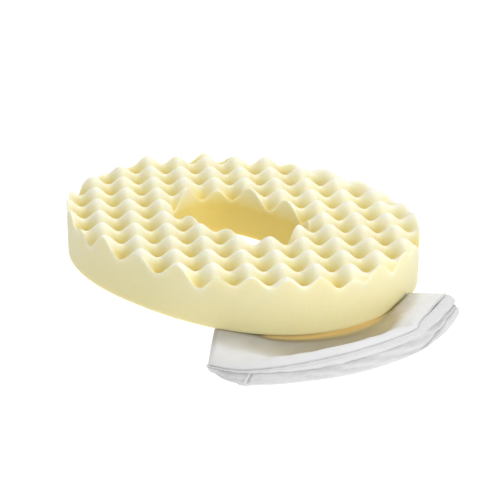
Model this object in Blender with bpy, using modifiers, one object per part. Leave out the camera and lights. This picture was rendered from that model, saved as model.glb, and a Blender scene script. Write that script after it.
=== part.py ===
"""Oval ring cushion: one convoluted (egg-crate) foam ring resting on its own
zipped cloth cover, which is folded in quarters.  Metres, +Z up, floor at z = 0."""

import math

import bmesh
import bpy
from mathutils import Matrix, Vector

# ------------------------------------------------------------ dimensions ---
# foam ring: the nominal 18 x 14 x 2 3/4 inch size
FOAM_LENGTH = 0.457
FOAM_WIDTH = 0.3547
FOAM_HEIGHT = 0.070
FOAM_SQUARENESS = 2.28          # superellipse exponent of the outer outline
HOLE_LENGTH = 0.1800
HOLE_WIDTH = 0.1086
HOLE_SQUARENESS = 3.03
HOLE_OFFSET = (-0.0038, 0.0030)

# egg-crate wave on the top: crests in a diagonal lattice
WAVE_DIAGONAL_X = 0.05957
WAVE_DIAGONAL_Y = 0.05020
WAVE_PHASE_U = -0.0646
WAVE_PHASE_V = 0.3094
WAVE_HALF_DEPTH = 0.0114        # crest to saddle; a valley is twice this deep
WAVE_STEPS_PER_DIAGONAL = 7

# how the ring leans on the folded cover
LEAN_ALONG = math.radians(2.0)
LEAN_ACROSS = math.radians(-2.5)

# frame: where the ring's centre sits relative to the origin
RING_CENTRE = (-0.0340, 0.0230)

# folded cover: a quarter of the oval, seen in plan as a fan from the hidden
# folded point; the front is the bowed outer band
FOLD_POINT = (0.052, -0.094)    # relative to the ring's centre
FAN_START = math.radians(-53.6)
FAN_END = math.radians(36.9)
FRONT_RADII = (0.157, 0.176, 0.187, 0.196, 0.211, 0.2275, 0.2465, 0.264, 0.268)
SEAM_HEIGHTS = (0.0165, 0.0215, 0.0255, 0.0275, 0.0290, 0.0300, 0.0305, 0.0310, 0.0290)
CLOTH = 0.0012                  # a ply of cover cloth with its hem bulk
GAP = 0.0003
CREASE_DROP = 0.0115            # top seam down to the crease between the bands
JOIN_AT = 0.145                 # where the lower band's two lengths are joined
FAN_COLUMNS = 28

# zip, on the straight folded side that faces away from the bowed front
ZIP_FACE_OUT = 0.0045           # zip line, outward of the fan's straight side
ZIP_LENGTH = 0.214
ZIP_HEIGHT = 0.0086             # centre line above the floor
TAPE_HEIGHT = 0.0052
COIL_HEIGHT = 0.0014
COIL_DEPTH = 0.0016
COIL_SLOT = 0.0014              # slot the slider's divider runs in
SLIDER_TRAVEL = 0.180

FLOOR = 0.0


# --------------------------------------------------------------- helpers ---
for old in list(bpy.data.objects):
    bpy.data.objects.remove(old, do_unlink=True)

PARTS = bpy.data.collections.new("ring_cushion")
CUTTERS = bpy.data.collections.new("ring_cushion_cutters")
bpy.context.scene.collection.children.link(PARTS)
bpy.context.scene.collection.children.link(CUTTERS)


def material(name, colour, roughness, metallic=0.0):
    mat = bpy.data.materials.new(name)
    mat.use_nodes = True
    shader = mat.node_tree.nodes["Principled BSDF"]
    shader.inputs["Base Color"].default_value = (*colour, 1.0)
    shader.inputs["Roughness"].default_value = roughness
    shader.inputs["Metallic"].default_value = metallic
    return mat


FOAM = material("foam", (0.82, 0.74, 0.42), 0.9)
CLOTH_MAT = material("cover_cloth", (0.83, 0.83, 0.84), 0.85)
THREAD = material("thread", (0.86, 0.86, 0.86), 0.7)
TAPE = material("zip_tape", (0.88, 0.88, 0.88), 0.8)
COIL = material("zip_coil", (0.85, 0.85, 0.85), 0.45)
METAL = material("zip_metal", (0.70, 0.70, 0.70), 0.3, 1.0)
LABEL = material("care_label", (0.90, 0.90, 0.90), 0.6)


def smoothstep(x):
    x = min(1.0, max(0.0, x))
    return x * x * (3.0 - 2.0 * x)


def spline_value(values, t):
    """Catmull-Rom through evenly spaced values, t from 0 to 1."""
    n = len(values) - 1
    x = min(max(t, 0.0), 1.0) * n
    i = min(int(x), n - 1)
    f = x - i
    p1, p2 = values[i], values[i + 1]
    p0 = values[i - 1] if i > 0 else 2 * p1 - p2
    p3 = values[i + 2] if i + 2 <= n else 2 * p2 - p1
    return 0.5 * (2 * p1 + (p2 - p0) * f + (2 * p0 - 5 * p1 + 4 * p2 - p3) * f * f
                  + (3 * p1 - p0 - 3 * p2 + p3) * f ** 3)


def superellipse(length, width, power, count, centre=(0.0, 0.0)):
    points = []
    for i in range(count):
        t = 2 * math.pi * i / count
        c, s = math.cos(t), math.sin(t)
        r = (abs(2 * c / length) ** power + abs(2 * s / width) ** power) ** (-1 / power)
        points.append((centre[0] + r * c, centre[1] + r * s))
    return points


def new_object(name, mesh, mat, collection=PARTS, smooth=True):
    obj = bpy.data.objects.new(name, mesh)
    collection.objects.link(obj)
    if mat:
        mesh.materials.append(mat)
    if smooth:
        mesh.shade_smooth()
        mesh.set_sharp_from_angle(angle=math.radians(40))
    return obj


def outline_curve(name, loops, thickness, z, collection, mat=None):
    """Flat plate with the given closed loops, from z to z + thickness."""
    curve = bpy.data.curves.new(name, "CURVE")
    curve.dimensions = "2D"
    curve.fill_mode = "BOTH"
    curve.extrude = thickness / 2
    for loop in loops:
        spline = curve.splines.new("POLY")
        spline.points.add(len(loop) - 1)
        for point, (x, y) in zip(spline.points, loop):
            point.co = (x, y, 0.0, 1.0)
        spline.use_cyclic_u = True
    obj = bpy.data.objects.new(name, curve)
    obj.location = (0.0, 0.0, z + thickness / 2)
    collection.objects.link(obj)
    if mat:
        curve.materials.append(mat)
    return obj


def curve_to_mesh(obj, mat):
    """Replace a curve object with a mesh whose caps are welded."""
    bpy.context.view_layer.update()
    graph = bpy.context.evaluated_depsgraph_get()
    mesh = bpy.data.meshes.new_from_object(obj.evaluated_get(graph))
    bm = bmesh.new()
    bm.from_mesh(mesh)
    bmesh.ops.remove_doubles(bm, verts=bm.verts, dist=0.00001)
    bm.to_mesh(mesh)
    bm.free()
    mesh.materials.clear()
    name, matrix, parent = obj.name, obj.matrix_world.copy(), obj.parent
    collection = obj.users_collection[0]
    bpy.data.objects.remove(obj, do_unlink=True)
    made = new_object(name, mesh, mat, collection, smooth=False)
    made.parent = parent
    made.matrix_world = matrix
    return made


def cord(name, points, radius, mat):
    curve = bpy.data.curves.new(name, "CURVE")
    curve.dimensions = "3D"
    curve.bevel_depth = radius
    curve.bevel_resolution = 2
    curve.use_fill_caps = True
    spline = curve.splines.new("POLY")
    spline.points.add(len(points) - 1)
    for point, co in zip(spline.points, points):
        point.co = (*co, 1.0)
    obj = bpy.data.objects.new(name, curve)
    PARTS.objects.link(obj)
    curve.materials.append(mat)
    return obj


def boolean(obj, cutter, operation):
    mod = obj.modifiers.new(operation.lower(), "BOOLEAN")
    mod.operation = operation
    mod.solver = "EXACT"
    mod.object = cutter
    cutter.hide_render = True
    cutter.display_type = "WIRE"


def box(name, low, high, mat, parent=None, bevel=0.0):
    bpy_mesh = bpy.data.meshes.new(name)
    bm = bmesh.new()
    bmesh.ops.create_cube(bm, size=1.0)
    size = [h - l for l, h in zip(low, high)]
    centre = [(h + l) / 2 for l, h in zip(low, high)]
    bmesh.ops.scale(bm, vec=size, verts=bm.verts)
    bmesh.ops.translate(bm, vec=centre, verts=bm.verts)
    bm.to_mesh(bpy_mesh)
    bm.free()
    obj = new_object(name, bpy_mesh, mat, smooth=False)
    if bevel:
        mod = obj.modifiers.new("edge", "BEVEL")
        mod.width = bevel
        mod.segments = 2
    obj.parent = parent
    return obj


# ------------------------------------------------------------- foam ring ---
def wave(x, y):
    """Height of the egg-crate top below its crests, 0 at a crest."""
    u = x / WAVE_DIAGONAL_X + y / WAVE_DIAGONAL_Y + WAVE_PHASE_U
    v = -x / WAVE_DIAGONAL_X + y / WAVE_DIAGONAL_Y + WAVE_PHASE_V
    return -WAVE_HALF_DEPTH * (1.0 + 0.5 * math.cos(2 * math.pi * u)
                               - 0.5 * math.cos(2 * math.pi * v))


outer = superellipse(FOAM_LENGTH, FOAM_WIDTH, FOAM_SQUARENESS, 88)
hole = superellipse(HOLE_LENGTH, HOLE_WIDTH, HOLE_SQUARENESS, 48, HOLE_OFFSET)

lean = Matrix.Rotation(LEAN_ACROSS, 4, "X") @ Matrix.Rotation(-LEAN_ALONG, 4, "Y")
lowest = min((lean @ Vector((x, y, -FOAM_HEIGHT))).z for x, y in outer)
ring_place = Matrix.Translation((RING_CENTRE[0], RING_CENTRE[1], FLOOR - lowest)) @ lean


def foam_under(x, y):
    """Height of the leaning ring's flat base above the floor at a point."""
    normal = lean.to_3x3() @ Vector((0.0, 0.0, 1.0))
    base = ring_place @ Vector((0.0, 0.0, -FOAM_HEIGHT))
    return base.z - (normal.x * (x - base.x) + normal.y * (y - base.y)) / normal.z


def make_foam():
    columns = round(FOAM_LENGTH / WAVE_DIAGONAL_X * WAVE_STEPS_PER_DIAGONAL) + 4
    rows = round(FOAM_WIDTH / WAVE_DIAGONAL_Y * WAVE_STEPS_PER_DIAGONAL) + 4
    step_x = WAVE_DIAGONAL_X / WAVE_STEPS_PER_DIAGONAL
    step_y = WAVE_DIAGONAL_Y / WAVE_STEPS_PER_DIAGONAL
    mesh = bpy.data.meshes.new("foam_ring")
    bm = bmesh.new()
    bmesh.ops.create_grid(bm, x_segments=columns, y_segments=rows, size=0.5)
    for vert in bm.verts:
        x = vert.co.x * columns * step_x
        y = vert.co.y * rows * step_y
        vert.co = (x, y, wave(x, y))
    top = list(bm.faces)
    grown = bmesh.ops.extrude_face_region(bm, geom=top)
    low = [g for g in grown["geom"] if isinstance(g, bmesh.types.BMVert)]
    for vert in low:
        vert.co.z = -FOAM_HEIGHT - 0.010
    bmesh.ops.recalc_face_normals(bm, faces=bm.faces)
    bm.to_mesh(mesh)
    bm.free()
    foam = new_object("foam_ring", mesh, FOAM, smooth=False)
    outline = outline_curve("foam_outline", [outer, hole], FOAM_HEIGHT + 0.02,
                            -FOAM_HEIGHT, CUTTERS)
    outline = curve_to_mesh(outline, None)
    boolean(foam, outline, "INTERSECT")
    bpy.context.view_layer.update()
    graph = bpy.context.evaluated_depsgraph_get()
    cut = bpy.data.meshes.new_from_object(foam.evaluated_get(graph))
    foam.modifiers.clear()
    bm = bmesh.new()
    bm.from_mesh(cut)
    bmesh.ops.remove_doubles(bm, verts=bm.verts, dist=0.0006)
    bmesh.ops.dissolve_degenerate(bm, edges=bm.edges, dist=0.0002)
    bm.to_mesh(cut)
    bm.free()
    cut.materials.clear()
    cut.materials.append(FOAM)
    foam.data = cut
    cut.shade_smooth()
    cut.set_sharp_from_angle(angle=math.radians(50))
    foam.matrix_world = ring_place
    return foam


make_foam()

# ---------------------------------------------------------- folded cover ---
point = (RING_CENTRE[0] + FOLD_POINT[0], RING_CENTRE[1] + FOLD_POINT[1])


def fan(s, t, out=0.0):
    """Plan position: s from the fold point (0) to the front seam (1), t along
    the front from the near corner (0) to the far corner (1)."""
    angle = FAN_START + (FAN_END - FAN_START) * t
    r = spline_value(FRONT_RADII, t) * s + out
    return point[0] + r * math.cos(angle), point[1] + r * math.sin(angle)


def outside_foam(x, y):
    """Distance outward of the ring's outline, negative inside."""
    x -= RING_CENTRE[0]
    y -= RING_CENTRE[1]
    g = (abs(2 * x / FOAM_LENGTH) ** FOAM_SQUARENESS
         + abs(2 * y / FOAM_WIDTH) ** FOAM_SQUARENESS) ** (1 / FOAM_SQUARENESS)
    return (1.0 - 1.0 / max(g, 1e-6)) * math.hypot(x, y)


def top_height(x, y, t):
    """Top of the folded cover: pressed flat under the ring, risen outside it."""
    pressed = foam_under(x, y) - 0.0006
    rise = smoothstep((outside_foam(x, y) - 0.006) / 0.040)
    seam = spline_value(SEAM_HEIGHTS, t)
    free = max(seam, 0.0)
    return pressed + (free - pressed) * rise


def loft(name, rows, mat, thickness, offset=0.0):
    """Sheet through rows of points, thickened with Solidify."""
    mesh = bpy.data.meshes.new(name)
    bm = bmesh.new()
    grid = [[bm.verts.new(p) for p in row] for row in rows]
    for a, b in zip(grid, grid[1:]):
        for i in range(len(a) - 1):
            bm.faces.new((a[i], b[i], b[i + 1], a[i + 1]))
    bm.normal_update()
    bm.to_mesh(mesh)
    bm.free()
    obj = new_object(name, mesh, mat)
    mod = obj.modifiers.new("cloth", "SOLIDIFY")
    mod.thickness = thickness
    mod.offset = offset
    mod.use_even_offset = True
    return obj


def columns(t0, t1, count):
    return [t0 + (t1 - t0) * i / count for i in range(count + 1)]


def make_top_panel():
    rows = []
    for s in (0.07, 0.22, 0.38, 0.52, 0.63, 0.72, 0.80, 0.87, 0.93, 0.985):
        row = []
        for t in columns(0.0, 1.0, FAN_COLUMNS):
            x, y = fan(s, t)
            row.append((x, y, top_height(x, y, t)))
        rows.append(row)
    loft("cover_top_panel", rows, CLOTH_MAT, CLOTH, offset=-1.0)


def make_band(name, t0, t1, profile):
    """Strip of the outer band: profile gives (outward, height share) pairs
    between the crease heights returned by the two callables."""
    rows = []
    for out, height in profile:
        row = []
        for t in columns(t0, t1, max(4, round(FAN_COLUMNS * (t1 - t0)))):
            x, y = fan(1.0, t, out)
            row.append((x, y, height(spline_value(SEAM_HEIGHTS, t))))
        rows.append(row)
    return loft(name, rows, CLOTH_MAT, CLOTH, offset=-1.0)


def drop(seam):
    """The crease hangs this far under the seam, less at the low corner."""
    return min(CREASE_DROP, 0.40 * seam)


UPPER_PROFILE = (
    (0.0012, lambda h: h - 0.0016),
    (0.0030, lambda h: h - 0.30 * drop(h) - 0.0012),
    (0.0034, lambda h: h - 0.70 * drop(h)),
    (0.0012, lambda h: h - drop(h)),
)
LOWER_PROFILE = (
    (0.0004, lambda h: h - drop(h) - 0.0012),
    (0.0030, lambda h: 0.0036 + 0.60 * (h - drop(h) - 0.0048)),
    (0.0030, lambda h: 0.0036 + 0.25 * (h - drop(h) - 0.0048)),
    (0.0010, lambda h: 0.0022),
)

make_top_panel()
make_band("cover_upper_band", 0.0, 1.0, UPPER_PROFILE)
make_band("cover_lower_band", JOIN_AT + 0.004, 1.0, LOWER_PROFILE)
make_band("cover_band_end", 0.0, JOIN_AT - 0.004, LOWER_PROFILE)


def fan_outline(s_in, s_out, inset_side, count=24, out=0.0):
    """Closed plan loop of the fan, its straight sides moved in by inset_side."""
    loop = []
    ax, ay = math.cos(FAN_START), math.sin(FAN_START)
    bx, by = math.cos(FAN_END), math.sin(FAN_END)
    shift = (inset_side * (ax + bx), inset_side * (ay + by))
    for t in columns(0.0, 1.0, count):
        x, y = fan(s_out, t, out)
        # pull the corners in from the straight sides
        near = max(0.0, 1.0 - t / 0.12) ** 2
        far = max(0.0, 1.0 - (1.0 - t) / 0.12) ** 2
        x += inset_side * (-ay * near + by * far)
        y += inset_side * (ax * near - bx * far)
        loop.append((x, y))
    x, y = fan(s_in, 0.5)
    loop.append((point[0] + shift[0] * 1.02 + s_in * 0.02 * bx,
                 point[1] + shift[1] * 1.02 + s_in * 0.02 * by))
    return loop


def plate(name, loop, z, thickness, mat):
    obj = outline_curve(name, [loop], thickness, z, PARTS)
    return curve_to_mesh(obj, mat)


plate("cover_bottom_panel", fan_outline(0.03, 1.0, 0.0015, out=-0.0016), FLOOR, 0.0015,
      CLOTH_MAT)
plate("cover_folded_bottom_plies", fan_outline(0.03, 0.955, 0.0080), 0.0018, 0.0062, CLOTH_MAT)
plate("cover_folded_top_plies", fan_outline(0.03, 0.950, 0.0080), 0.0084, 0.0062, CLOTH_MAT)

# stitched seams: top seam where the top panel meets the band, lower seam where
# the band meets the bottom panel, and the join across the lower band
cord("seam_top", [(*fan(1.0, t, -0.0006), spline_value(SEAM_HEIGHTS, t) + 0.0008)
                  for t in columns(0.0, 1.0, 26)], 0.0008, THREAD)
cord("seam_bottom", [(*fan(1.0, t, 0.0018), 0.0009)
                     for t in columns(0.0, 1.0, 26)], 0.0007, THREAD)
join_rows = []
for out, height in LOWER_PROFILE:
    h = height(spline_value(SEAM_HEIGHTS, JOIN_AT))
    join_rows.append((*fan(1.0, JOIN_AT, out + 0.0004), h))
cord("seam_band_join", [join_rows[0], join_rows[1], join_rows[2],
                        (join_rows[3][0], join_rows[3][1], join_rows[3][2] + 0.0006)],
     0.0006, THREAD)

# ------------------------------------------------------------------- zip ---
# local frame: X along the folded side away from the fold point, Y outward, Z up
far_x, far_y = fan(1.0, 1.0)
zip_frame = bpy.data.objects.new("zip_frame", None)
zip_frame.location = (far_x - ZIP_FACE_OUT * math.sin(FAN_END),
                      far_y + ZIP_FACE_OUT * math.cos(FAN_END), 0.0)
zip_frame.rotation_euler = (0.0, 0.0, FAN_END)
PARTS.objects.link(zip_frame)

ZIP_END = -0.012                # outer end of the zip, back from the corner
ZIP_START = ZIP_END - ZIP_LENGTH
low_coil = ZIP_HEIGHT - COIL_SLOT / 2
high_coil = ZIP_HEIGHT + COIL_SLOT / 2

# cloth strips that the tapes are sewn to, one above and one below
box("zip_strip_lower", (ZIP_START - 0.012, -0.0008, 0.0018), (0.0, 0.0, 0.0050),
    CLOTH_MAT, zip_frame)
box("zip_strip_upper", (ZIP_START - 0.012, -0.0008, 0.0122), (0.0, 0.0, 0.0148),
    CLOTH_MAT, zip_frame)
# woven tapes behind the strips
box("zip_tape_lower", (ZIP_START - 0.006, -0.0018, low_coil - COIL_HEIGHT - TAPE_HEIGHT + 0.0011),
    (ZIP_END + 0.006, -0.0011, low_coil - 0.0002), TAPE, zip_frame)
box("zip_tape_upper", (ZIP_START - 0.006, -0.0018, high_coil + 0.0002),
    (ZIP_END + 0.006, -0.0011, high_coil + COIL_HEIGHT + TAPE_HEIGHT - 0.0011), TAPE, zip_frame)
# coil rows on the tapes' outer faces, held apart by the divider's slot
box("zip_coil_lower", (ZIP_START, -0.0008, low_coil - COIL_HEIGHT),
    (ZIP_END, -0.0008 + COIL_DEPTH, low_coil), COIL, zip_frame, bevel=0.0003)
box("zip_coil_upper", (ZIP_START, -0.0008, high_coil),
    (ZIP_END, -0.0008 + COIL_DEPTH, high_coil + COIL_HEIGHT), COIL, zip_frame, bevel=0.0003)
# end stops, clamped across both rows
box("zip_stop_far", (ZIP_END + 0.0004, -0.0008, low_coil - 0.0012),
    (ZIP_END + 0.0030, 0.0012, high_coil + 0.0012), METAL, zip_frame, bevel=0.0003)
box("zip_stop_near", (ZIP_START - 0.0030, -0.0008, low_coil - 0.0012),
    (ZIP_START - 0.0004, 0.0012, high_coil + 0.0012), METAL, zip_frame, bevel=0.0003)

# slider: front and back plates joined by the divider, with a bridge for the tab
SLIDER_LENGTH = 0.0090
SLIDER_HALF = 0.0036
slider_x = ZIP_END - 0.0010 - SLIDER_LENGTH / 2
slider_frame = bpy.data.objects.new("slider_frame", None)
slider_frame.parent = zip_frame
slider_frame.location = (slider_x, 0.0, ZIP_HEIGHT)
PARTS.objects.link(slider_frame)


def union_boxes(name, boxes, mat, parent):
    """One solid from overlapping boxes."""
    first = box(name, *boxes[0], mat, parent)
    for i, (low, high) in enumerate(boxes[1:]):
        piece = box(f"{name}_block_{i}", low, high, None, parent)
        PARTS.objects.unlink(piece)
        CUTTERS.objects.link(piece)
        boolean(first, piece, "UNION")
    return first


front_in = COIL_DEPTH - 0.0008 + 0.0003
union_boxes("zip_slider", [
    ((-SLIDER_LENGTH / 2, front_in, -SLIDER_HALF), (SLIDER_LENGTH / 2, front_in + 0.0009, SLIDER_HALF)),
    ((-SLIDER_LENGTH / 2, -0.0030, -SLIDER_HALF), (SLIDER_LENGTH / 2, -0.0021, SLIDER_HALF)),
    ((-0.0015, -0.0026, -0.0004), (0.0040, front_in + 0.0005, 0.0004)),
    ((-0.0035, front_in + 0.0005, -0.0008), (-0.0025, front_in + 0.0029, 0.0008)),
    ((0.0025, front_in + 0.0005, -0.0008), (0.0035, front_in + 0.0029, 0.0008)),
    ((-0.0035, front_in + 0.0023, -0.0008), (0.0035, front_in + 0.0031, 0.0008)),
], METAL, slider_frame)

# pull tab: an eye round the bridge, then a flat plate; it turns on the bridge
TAB_LENGTH = 0.0200
TAB_HALF = 0.0026
tab_y = front_in + 0.0016
tab_frame = bpy.data.objects.new("tab_frame", None)
tab_frame.parent = slider_frame
tab_frame.location = (0.0, tab_y, 0.0)
PARTS.objects.link(tab_frame)


def make_tab():
    """Flat tab: its end bar lies under the bridge, whose leg its slot clears."""
    outline = []
    count = 10
    for i in range(count + 1):
        a = -math.pi / 2 + math.pi * i / count
        outline.append((TAB_LENGTH - TAB_HALF + TAB_HALF * math.cos(a), TAB_HALF * math.sin(a)))
    outline += [(-0.0004, TAB_HALF * 0.9), (-0.0004, -TAB_HALF * 0.9)]
    slot = [(0.0004, -0.0013), (0.0046, -0.0013), (0.0046, 0.0013), (0.0004, 0.0013)]
    obj = outline_curve("zip_pull_tab", [outline, slot], 0.0006, -0.0003, PARTS)
    obj.parent = tab_frame
    # the plate lies in the zip's plane: its thickness is along the outward Y
    obj.location = (0.0, 0.0, 0.0)
    obj.rotation_euler = (math.radians(90), 0.0, 0.0)
    bpy.context.view_layer.update()
    curve_to_mesh(obj, METAL)


make_tab()

# blank care label, caught in the lower strip and lying on the floor
box("care_label", (ZIP_START + 0.060, 0.0003, FLOOR + 0.0003),
    (ZIP_START + 0.085, 0.0280, FLOOR + 0.0007), LABEL, zip_frame)
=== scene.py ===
import math

import bmesh
import bpy
import numpy as np
from mathutils import Matrix, Vector


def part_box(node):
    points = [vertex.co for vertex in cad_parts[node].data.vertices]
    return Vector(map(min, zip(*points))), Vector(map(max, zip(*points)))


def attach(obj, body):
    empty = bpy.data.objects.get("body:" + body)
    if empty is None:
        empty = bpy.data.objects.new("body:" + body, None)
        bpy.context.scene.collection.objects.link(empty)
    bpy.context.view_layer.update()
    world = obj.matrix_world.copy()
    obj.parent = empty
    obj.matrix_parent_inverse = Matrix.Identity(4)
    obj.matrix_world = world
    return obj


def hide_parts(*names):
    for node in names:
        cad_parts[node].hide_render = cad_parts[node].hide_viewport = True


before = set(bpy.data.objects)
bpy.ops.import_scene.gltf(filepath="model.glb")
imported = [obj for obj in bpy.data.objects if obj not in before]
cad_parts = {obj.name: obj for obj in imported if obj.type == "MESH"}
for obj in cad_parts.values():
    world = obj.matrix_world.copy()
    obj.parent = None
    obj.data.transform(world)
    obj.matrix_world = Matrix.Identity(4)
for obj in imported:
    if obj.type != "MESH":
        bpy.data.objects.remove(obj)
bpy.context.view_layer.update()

# ------------------------------------------------------------------ frame --
# The ring's plan centre is given below; the rest are the sizes that the CAD model was built to (metres).
FOAM_L, FOAM_W, FOAM_H, FOAM_N = 0.457, 0.3547, 0.070, 2.28
HOLE_L, HOLE_W, HOLE_N = 0.1800, 0.1086, 3.03
HOLE_C = (-0.0038, 0.0030)
DIAG_X, DIAG_Y, PH_U, PH_V, AMP = 0.05957, 0.05020, -0.0646, 0.3094, 0.0114
LEAN = Matrix.Rotation(math.radians(-2.5), 4, "X") @ Matrix.Rotation(math.radians(-2.0), 4, "Y")


def superellipse(length, width, power, t):
    c, s = np.cos(t), np.sin(t)
    r = (np.abs(2 * c / length) ** power + np.abs(2 * s / width) ** power) ** (-1 / power)
    return np.stack([r * c, r * s], axis=-1)


_t = np.linspace(0, 2 * np.pi, 88, endpoint=False)
_edge = superellipse(FOAM_L, FOAM_W, FOAM_N, _t)
_low = np.array([LEAN @ Vector((x, y, -FOAM_H)) for x, y in _edge])
_high = np.array([LEAN @ Vector((x, y, 0.0)) for x, y in _edge])
lo, hi = (np.array(c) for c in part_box("foam_ring"))
_all = np.concatenate([_low, _high])
# the plan centre is given; the leaned base's lowest point is lifted onto the floor
RING = Vector((-0.0340, 0.0230, -float(_low[:, 2].min())))
PLACE = Matrix.Translation(RING) @ LEAN

# ------------------------------------------------------------------ camera --
AZ, EL = 0.71684, 0.46716
PITCH = 0.04212
EYE = np.array([-0.29140, 1.21556, 49.36364]) * PITCH
FOCAL_PX = 1698.61
right = np.array([math.cos(AZ), math.sin(AZ), 0.0])
up = np.array([-math.sin(AZ) * math.sin(EL), math.cos(AZ) * math.sin(EL), math.cos(EL)])
ahead = np.array([-math.sin(AZ) * math.cos(EL), math.cos(AZ) * math.cos(EL), -math.sin(EL)])
eye = np.array(RING) - (right * EYE[0] + up * EYE[1] + ahead * EYE[2])
cam_data = bpy.data.cameras.new("camera")
cam_data.sensor_width = 36.0
cam_data.lens = FOCAL_PX / 500 * 36.0
cam_data.clip_start = 0.05
cam_data.clip_end = 50.0
cam = bpy.data.objects.new("camera", cam_data)
bpy.context.scene.collection.objects.link(cam)
cam.matrix_world = Matrix(((right[0], up[0], -ahead[0], eye[0]),
                           (right[1], up[1], -ahead[1], eye[1]),
                           (right[2], up[2], -ahead[2], eye[2]),
                           (0, 0, 0, 1)))
bpy.context.scene.camera = cam


# --------------------------------------------------------------- node tools --
def new_material(name, colour, roughness, metallic=0.0):
    mat = bpy.data.materials.new(name)
    mat.use_nodes = True
    tree = mat.node_tree
    shader = tree.nodes["Principled BSDF"]
    shader.inputs["Base Color"].default_value = (*colour, 1.0)
    shader.inputs["Roughness"].default_value = roughness
    shader.inputs["Metallic"].default_value = metallic
    return mat, tree, shader


def node(tree, kind, **values):
    n = tree.nodes.new(kind)
    for key, value in values.items():
        if key in n.inputs:
            n.inputs[key].default_value = value
        else:
            setattr(n, key, value)
    return n


def ramp(tree, stops, source):
    n = tree.nodes.new("ShaderNodeValToRGB")
    els = n.color_ramp.elements
    els[0].position, els[0].color = stops[0][0], (*stops[0][1], 1.0)
    els[1].position, els[1].color = stops[-1][0], (*stops[-1][1], 1.0)
    for pos, col in stops[1:-1]:
        e = els.new(pos)
        e.color = (*col, 1.0)
    tree.links.new(source, n.inputs["Fac"])
    return n


def srgb(r, g, b):
    return tuple(((c / 255 + 0.055) / 1.055) ** 2.4 if c > 10 else c / 255 / 12.92
                 for c in (r, g, b))


# --------------------------------------------------------------- mesh tools --
def grid_mesh(name, grids, mat, smooth=True, layers=None):
    """One object from grids of points (rows, columns, 3); each grid is
    (points, close_columns)."""
    verts, faces, tones = [], [], []
    for points, closed in grids:
        rows, cols = points.shape[:2]
        base = len(verts)
        verts.extend(map(tuple, points.reshape(-1, 3)))
        idx = np.arange(rows * cols).reshape(rows, cols) + base
        for i in range(rows - 1):
            a, b = idx[i], idx[i + 1]
            if closed:
                a2, b2 = np.roll(a, -1), np.roll(b, -1)
                quads = np.stack([a, b, b2, a2], axis=1)
            else:
                quads = np.stack([a[:-1], b[:-1], b[1:], a[1:]], axis=1)
            faces.extend(map(tuple, quads.tolist()))
    mesh = bpy.data.meshes.new(name)
    mesh.from_pydata(verts, [], faces)
    mesh.update()
    if layers:
        for key, values in layers.items():
            att = mesh.attributes.new(key, "FLOAT", "POINT")
            att.data.foreach_set("value", np.concatenate(values).astype(np.float32))
    mesh.materials.append(mat)
    if smooth:
        mesh.shade_smooth()
    obj = bpy.data.objects.new(name, mesh)
    bpy.context.scene.collection.objects.link(obj)
    return obj


def weld(obj, dist=1e-6):
    bm = bmesh.new()
    bm.from_mesh(obj.data)
    bmesh.ops.remove_doubles(bm, verts=bm.verts, dist=dist)
    bmesh.ops.recalc_face_normals(bm, faces=bm.faces)
    bm.to_mesh(obj.data)
    bm.free()
    obj.data.shade_smooth()


def apply_modifiers(obj):
    bpy.context.view_layer.update()
    graph = bpy.context.evaluated_depsgraph_get()
    mesh = bpy.data.meshes.new_from_object(obj.evaluated_get(graph))
    obj.modifiers.clear()
    obj.data = mesh


def smoothstep(x):
    x = np.clip(x, 0.0, 1.0)
    return x * x * (3.0 - 2.0 * x)


def catmull(values, t):
    v = np.asarray(values, float)
    n = len(v) - 1
    x = np.clip(t, 0.0, 1.0) * n
    i = np.minimum(x.astype(int), n - 1)
    f = x - i
    p1, p2 = v[i], v[i + 1]
    p0 = np.where(i > 0, v[np.maximum(i - 1, 0)], 2 * p1 - p2)
    p3 = np.where(i + 2 <= n, v[np.minimum(i + 2, n)], 2 * p2 - p1)
    return 0.5 * (2 * p1 + (p2 - p0) * f + (2 * p0 - 5 * p1 + 4 * p2 - p3) * f * f
                  + (3 * p1 - p0 - 3 * p2 + p3) * f ** 3)


def smooth_noise(x, y, seed=0, scale=0.03):
    """Deterministic smooth noise from a few fixed sine waves, about -1 to 1."""
    rng = np.random.default_rng(seed)
    total = np.zeros_like(x)
    for k in range(7):
        a = rng.uniform(0, 2 * np.pi)
        w = 2 * np.pi / (scale * rng.uniform(0.6, 1.7))
        total += np.sin((x * math.cos(a) + y * math.sin(a)) * w + rng.uniform(0, 6.28)) / 7 * 1.6
    return total


# ---------------------------------------------------------------- foam ring --
def wave(x, y):
    """Height of the cut surface, 0 on the crests and -2*AMP in the hollows."""
    u = x / DIAG_X + y / DIAG_Y + PH_U
    v = -x / DIAG_X + y / DIAG_Y + PH_V
    depth = 0.5 * (1.0 + 0.5 * np.cos(2 * np.pi * u) - 0.5 * np.cos(2 * np.pi * v))
    z = -2.0 * AMP * np.clip(depth, 0, 1) ** 1.06 * 1.02
    # the far right rim is cut where the hollows have almost run out
    gauge = (np.abs(2 * x / FOAM_L) ** FOAM_N + np.abs(2 * y / FOAM_W) ** FOAM_N) ** (1 / FOAM_N)
    turn = np.degrees(np.arctan2(y, x))
    sector = smoothstep((turn - 22) / 14) * (1 - smoothstep((turn - 96) / 14))
    return z * (1 - 0.62 * sector * smoothstep((gauge - 0.88) / 0.12))


def ridge(x, y):
    """1 along the lines of crests and saddles, 0 in the hollows."""
    u = x / DIAG_X + y / DIAG_Y + PH_U
    v = -x / DIAG_X + y / DIAG_Y + PH_V
    a = (0.5 + 0.5 * np.cos(2 * np.pi * v)) ** 7
    b = (0.5 - 0.5 * np.cos(2 * np.pi * u)) ** 7
    return np.maximum(a, 0.3 * b)


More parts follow.
